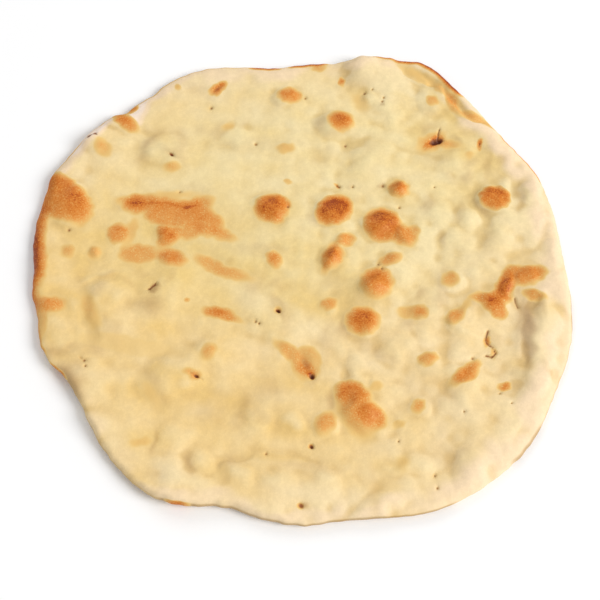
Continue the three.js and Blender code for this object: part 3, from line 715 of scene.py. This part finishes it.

# Where the dough stayed moist and yellow, and where it dried pale (less than 0):
# [x, y, half length, half width, turn, how much]. The first 13 rows and what is moist all
# over come from a fit to the photo's colour, and the last three rows are given one by one.
MOIST_ALL_OVER = 0.25
MOIST = np.array([
    [-96.5, -0.7, 90, 56, -2, 0.53], [-28.3, -96, 90, 43.4, -4, 0.51], [-162.6, 3.4, 35.4, 60, 7, 0.35],
    [103.6, 110.3, 26.9, 60, 2, 0.54], [20.5, -21.6, 21.3, 33.2, 46, 0.54],
    [-92.1, 86.2, 29.7, 20.7, 3, 0.2], [140.5, -78.9, 25.4, 60, -19, -0.55],
    [155.9, 5.7, 20.3, 60, 13, -0.52], [22.9, 172.3, 90, 13.8, -41, -0.61],
    [9.9, -156.6, 21.2, 60, 49, -0.35], [-101.6, 177.1, 20, 52.6, 45, -1.6],
    [85, 14, 29.4, 21.8, -38, -0.17], [-123.6, -16, 39.1, 10.7, -42, -0.2], [-98, -50, 60, 45, 0, 0.14],
    [-58, -82, 16, 12, -20, 0.35], [-84, -68, 9, 12, 30, 0.3],
])
# The thin middle stays cooler in colour than the rim: [x, y, half length, half width, turn].
COOL_MIDDLE = np.array([[12, 52, 165, 105, 8]])
COOL_STEEP = 1.3

# Where bench flour stayed on the rim: from and to in degrees, how much, how far in.
FLOUR = [
    (-62, 48, 0.8, 16), (285, 318, 0.5, 14), (238, 290, 0.6, 8), (60, 84, 0.6, 14),
    (88, 126, 0.8, 12), (126, 158, 1.5, 9), (205, 238, 0.35, 9),
]
FLOUR_UNEVEN = 3
FLOUR_FADE = 12


def moisture(x, y):
    """How moist and yellow the dough is: what it is all over, plus each ellipse's amount times
    1 - r^2 / MOIST_FADE, which takes away where the dough is dry, plus finer waves. Slow waves
    loosen the ellipses."""
    loose_x = x + MOIST_LOOSE * dough_waves(x, y, shortest=30, longest=70, seed=12)
    loose_y = y + MOIST_LOOSE * dough_waves(x, y, shortest=30, longest=70, seed=13)
    inside = np.clip(1 - share_out(loose_x, loose_y, MOIST) / MOIST_FADE, 0, 1)
    uneven = MOIST_UNEVEN * dough_waves(x, y, shortest=12, longest=40, seed=14)
    return MOIST_ALL_OVER + (MOIST[:, 5:] * inside).sum(0) + uneven


def coolness(x, y):
    """COOL_STEEP times 1 - r^2, held to 1 in the thin middle and 0 outside its ellipse."""
    return np.clip(COOL_STEEP * (1 - share_out(x, y, COOL_MIDDLE)[0]), 0, 1)


def floured(x, y, angle, over):
    """The most of the bands along the rim. Each is a blurred step from 0 at 1.5 of its reach
    in from the edge to full at 0.3 of it, and waves make its inner edge uneven."""
    uneven = over + FLOUR_UNEVEN * dough_waves(x, y, shortest=14, longest=40, seed=15)
    flour = 0
    for start, end, much, reach in FLOUR:
        band = much * blurred_step(-1.5 * reach, -0.3 * reach, uneven)
        flour = np.maximum(flour, band * along_rim(angle, start, end, FLOUR_FADE))
    return flour


def add_tone(mesh, name, values):
    """Keeps one number for each point of the mesh, for the finish to read."""
    layer = mesh.attributes.new(name, "FLOAT", "POINT")
    layer.data.foreach_set("value", values.astype(np.float32))


skin_x, skin_y, _ = skin.T
on_top = skin_over < 0
add_tone(bread_mesh, "browning", browning(skin_x, skin_y, skin_angle, skin_over))
add_tone(bread_mesh, "crest", crest(skin_x, skin_y) * on_top)
add_tone(bread_mesh, "crease", crease_shading(skin_x, skin_y, skin_angle, skin_over))
add_tone(bread_mesh, "moist", moisture(skin_x, skin_y))
add_tone(bread_mesh, "cool", coolness(skin_x, skin_y))
add_tone(bread_mesh, "flour", floured(skin_x, skin_y, skin_angle, skin_over))
add_tone(bread_mesh, "hollow", hollow_depth(skin_x, skin_y) * on_top)
add_tone(bread_mesh, "under", blurred_step(0.5, 7, skin_over))

# --------------------------------------------------------------------------------------
# The finish: dry baked wheat skin, cream where it is pale and yellower where it is moist.
# Browning runs from straw through orange to burnt umber, in fine grains, and the burst
# bubbles are dark inside, from scorched dough and painted shade. Underneath it is toasted in blotches
# from the oven floor.
REFLECTED = 0.93


def seen(red, green, blue):
    """A colour given as it is seen on screen, from 0 to 255, as the light it reflects."""
    share = np.array([red, green, blue]) / 255
    light = np.where(share > 0.04045, ((share + 0.055) / 1.055) ** 2.4, share / 12.92)
    return (*(REFLECTED * light).tolist(), 1)


PALE_DOUGH = seen(247, 221, 171)
MOIST_DOUGH = seen(241, 204, 130)
# The next two are painted shade for hollows, with some of the moister dough's tan, and painted light for
# crowns.
SHADED_SUNK_DOUGH = seen(222, 186, 120)
LIT_RAISED_DOUGH = seen(248, 226, 174)
THIN_FLOUR = seen(249, 221, 182)
THICK_FLOUR = seen(250, 230, 212)
COOL_TINT = (0.985, 1.035, 1.01, 1)
# The next tint darkens for painted shade in the creases, with some of the denser dough's tone.
CREASE_SHADE_TINT = (0.6, 0.515, 0.465, 1)
HOLLOW_LIP = seen(150, 90, 46)
# The next colour is the dark floor of pits, pinholes and cracks: scorched dough with painted shade.
HOLLOW_FLOOR_SCORCH_AND_SHADE = seen(104, 46, 18)
UNDER_PALE = seen(232, 204, 150)
UNDER_SCORCHED = seen(188, 128, 70)
TOASTING_SHARE = 0.8
TOASTING = [
    # how brown times the toasting share, and the colour there
    (0, seen(242, 212, 145)), (0.16, seen(234, 193, 118)), (0.32, seen(229, 169, 91)),
    (0.5, seen(226, 150, 70)), (0.68, seen(217, 130, 45)), (0.82, seen(206, 111, 25)),
    (1, seen(160, 66, 0)),
]


class Tone:
    """One output of a shader node, so that shader maths can be written as expressions."""

    def __init__(self, tree, output=None):
        self.tree = tree
        self.output = output

    def node(self, kind, settings, sockets, output=0):
        """Adds any node: first its settings, then a value or a link for each socket."""
        made = self.tree.nodes.new(kind)
        for name, setting in settings.items():
            if name == "stops":
                while len(made.color_ramp.elements) < len(setting):
                    made.color_ramp.elements.new(1)
                for stop, (place, colour) in zip(made.color_ramp.elements, setting):
                    stop.position, stop.color = place, colour
            else:
                setattr(made, name, setting)
        for name, value in sockets.items():
            if isinstance(value, Tone):
                self.tree.links.new(value.output, made.inputs[name])
            else:
                made.inputs[name].default_value = value
        return Tone(self.tree, made.outputs[output] if made.outputs else None)

    def maths(self, operation, first, second):
        """One Math node on two tones, or on a tone and a number."""
        return self.node("ShaderNodeMath", {"operation": operation}, {0: first, 1: second})

    # The operators give the sum, product and difference, whichever side the tone is on.
    def __add__(self, other):
        return self.maths("ADD", self, other)

    def __mul__(self, other):
        return self.maths("MULTIPLY", self, other)

    def __sub__(self, other):
        return self.maths("SUBTRACT", self, other)

    def __rsub__(self, other):
        return self.maths("SUBTRACT", other, self)

    __radd__, __rmul__ = __add__, __mul__

    def stepped(self, low, high):
        """0 up to low, 1 from high on, smooth between."""
        settings = {"interpolation_type": "SMOOTHSTEP"}
        sockets = {"Value": self, "From Min": low, "From Max": high}
        return self.node("ShaderNodeMapRange", settings, sockets)

    def shaded(self, share):
        """A colour made lighter or darker: each of its parts times the share."""
        settings = {"operation": "SCALE"}
        return self.node("ShaderNodeVectorMath", settings, {0: self, 3: share})

    def blended(self, first, second):
        """The first colour where this is 0 and the second where it is 1."""
        settings = {"data_type": "RGBA"}
        return self.node("ShaderNodeMix", settings, {0: self, 6: first, 7: second}, 2)

    def tinted(self, colour, tint):
        """The colour where this is 0, and the colour times the tint where it is 1."""
        settings = {"data_type": "RGBA", "blend_type": "MULTIPLY"}
        return self.node("ShaderNodeMix", settings, {0: self, 6: colour, 7: tint}, 2)


def grain(start, place, size, detail=2.0, roughness=0.5):
    """Soft noise from 0 to 1 with lumps of that size in millimetres."""
    sockets = {"Vector": place, "Scale": 1 / (size * MM), "Detail": detail, "Roughness": roughness}
    return start.node("ShaderNodeTexNoise", {}, sockets)


def baked_dough():
    """The bread's material: pale dough, with creases, browning, hollows and the underside
    laid over it in turn, each where its attribute on the skin says."""
    material = bpy.data.materials.new("baked_dough")
    material.use_nodes = True
    tree = material.node_tree
    tree.nodes.clear()
    start = Tone(tree)
    place = start.node("ShaderNodeTexCoord", {}, {}, "Object")

    def kept(name):
        """The number that add_tone kept under that name."""
        return start.node("ShaderNodeAttribute", {"attribute_name": name}, {}, "Fac")

    brown, standing, crease = kept("browning"), kept("crest"), kept("crease")
    moist, cool, flour = kept("moist"), kept("cool"), kept("flour")
    hollow, under = kept("hollow"), kept("under")
    fine = grain(start, place, 0.8, 2, 0.6)
    small = grain(start, place, 2.6)
    patch = grain(start, place, 11)
    broad = grain(start, place, 34)

    # pale dough
    yellow = moist + (patch - 0.5) * 0.4
    colour = yellow.blended(PALE_DOUGH, MOIST_DOUGH)
    # hollows painted darker and tanner, crowns lighter: painted shade and painted light, with some
    # moister tan in the hollows
    sunk_shade = 0.0 - standing + (patch - 0.5) * 0.3
    colour = (sunk_shade.stepped(0, 0.9) * 0.7).blended(colour, SHADED_SUNK_DOUGH)
    colour = (standing * 0.5).blended(colour, LIT_RAISED_DOUGH)
    colour = cool.tinted(colour, COOL_TINT)
    dusted = (flour + (patch - 0.5) * 0.2 - brown * 0.8 - crease * 1.2 + standing * 0.25).stepped(0.1, 1)
    colour = dusted.blended(colour, THIN_FLOUR)
    colour = flour.stepped(1, 1.6).blended(colour, THICK_FLOUR)
    mottled = (small - 0.5) * 0.7 + (fine - 0.5) * 0.5 + 0.5
    colour = mottled.stepped(0.35, 0.75).blended(colour.shaded(0.955), colour.shaded(1.04))

    # painted shade in the creases, with some of the denser dough's tone
    colour = (crease * 1.7).tinted(colour, CREASE_SHADE_TINT)

    # browning
    dots = start.node("ShaderNodeTexVoronoi", {}, {"Vector": place, "Scale": 1 / (1.5 * MM)})
    speckled = (fine - 0.5) * 0.95 + (small - 0.5) * 0.4 - dots.stepped(0.42, 0.1) * 0.28 + 0.07
    grainy = brown + brown.stepped(0.15, 0.6) * speckled
    toasted = grainy.node("ShaderNodeValToRGB", {"stops": TOASTING}, {"Fac": grainy * TOASTING_SHARE})
    colour = grainy.stepped(0.02, 0.2).blended(colour, toasted)

    # burst bubbles and cracks: a browned lip, and a dark floor of scorched dough with painted shade
    colour = hollow.stepped(0.35, 1.3).blended(colour, HOLLOW_LIP)
    colour = hollow.stepped(1.1, 2.4).blended(colour, HOLLOW_FLOOR_SCORCH_AND_SHADE)

    # underside
    scorched = (broad * 0.6 + small * 0.4).stepped(0.42, 0.62)
    below = scorched.blended(UNDER_PALE, UNDER_SCORCHED)
    colour = under.blended(colour, below)

    roughness = 0.62 + flour * 0.25 - brown * 0.12 + (small - 0.5) * 0.2
    raised = fine * 0.35 + small * 0.5 + brown * fine * 0.5
    bump = start.node("ShaderNodeBump", {}, {"Strength": 0.6, "Distance": 0.42 * MM, "Height": raised})
    shader = start.node("ShaderNodeBsdfPrincipled", {}, {
        "Base Color": colour, "Roughness": roughness, "Normal": bump, "Specular IOR Level": 0.3,
    })
    start.node("ShaderNodeOutputMaterial", {}, {"Surface": shader})
    return material


bread_mesh.materials.append(baked_dough())
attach(bread, "root")
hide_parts("pizza_bread")

# --------------------------------------------------------------------------------------
# The studio: a plain pale table top, one broad soft lamp from the right, a weak one from
# behind on the left, and an even white surround. In metres, degrees and watts.
TABLE_SIZE = 24
TABLE_TONE = 0.96
TABLE_LEVEL = -0.2 * MM
LAMP_TURN = -18
LAMP_RISE = 36
LAMP_AWAY = 6
LAMP_SIZE = 3.2
LAMP_POWER = 292
FILL_TURN = 115
FILL_RISE = 40
FILL_POWER = 62
SURROUND = 0.515

table_mesh = bpy.data.meshes.new("table_top")
half = TABLE_SIZE / 2
table_corners = [(-half, -half), (half, -half), (half, half), (-half, half)]
table_mesh.from_pydata([(*corner, TABLE_LEVEL) for corner in table_corners], [], [(0, 1, 2, 3)])
table_paint = bpy.data.materials.new("table_paint")
table_paint.use_nodes = True
table_surface = table_paint.node_tree.nodes["Principled BSDF"]
table_surface.inputs["Base Color"].default_value = (TABLE_TONE, TABLE_TONE, TABLE_TONE, 1)
table_surface.inputs["Roughness"].default_value = 0.9
table_mesh.materials.append(table_paint)
table_top = bpy.data.objects.new("table_top", table_mesh)
bpy.context.scene.collection.objects.link(table_top)

for lamp_name, lamp_turn, lamp_rise, lamp_power in [
    ("lamp", LAMP_TURN, LAMP_RISE, LAMP_POWER), ("fill_lamp", FILL_TURN, FILL_RISE, FILL_POWER),
]:
    turn, rise = np.radians(lamp_turn), np.radians(lamp_rise)
    to_lamp = Vector((np.cos(turn) * np.cos(rise), np.sin(turn) * np.cos(rise), np.sin(rise)))
    lamp_light = bpy.data.lights.new(lamp_name, "AREA")
    lamp_light.shape = "DISK"
    lamp_light.size = LAMP_SIZE
    lamp_light.energy = lamp_power
    lamp = bpy.data.objects.new(lamp_name, lamp_light)
    lamp.location = to_lamp * LAMP_AWAY
    lamp.rotation_euler = to_lamp.to_track_quat("Z", "Y").to_euler()
    bpy.context.scene.collection.objects.link(lamp)

surround = bpy.data.worlds.new("surround")
surround.use_nodes = True
surround.node_tree.nodes["Background"].inputs["Color"].default_value = (1, 1, 1, 1)
surround.node_tree.nodes["Background"].inputs["Strength"].default_value = SURROUND
bpy.context.scene.world = surround
bpy.context.scene.view_settings.view_transform = "Standard"

# --------------------------------------------------------------------------------------
# The camera looks down on the bread from the near side at 65 degrees, from 650 mm. AIM is
# where it looks, among the outline's numbers, before the bread is centred.
VIEW_DOWN = 65
VIEW_AWAY = 650
LENS = 66.03
AIM = (0.673, -20.028, 0)

down = np.radians(VIEW_DOWN)
back = Vector((0, -np.cos(down), np.sin(down)))
camera_eye = bpy.data.cameras.new("camera")
camera_eye.sensor_width = 36
camera_eye.lens = LENS
camera = bpy.data.objects.new("camera", camera_eye)
camera.location = (Vector(AIM) - Vector(middle)) * MM + back * VIEW_AWAY * MM
camera.rotation_euler = back.to_track_quat("Z", "Y").to_euler()
bpy.context.scene.collection.objects.link(camera)
bpy.context.scene.camera = camera
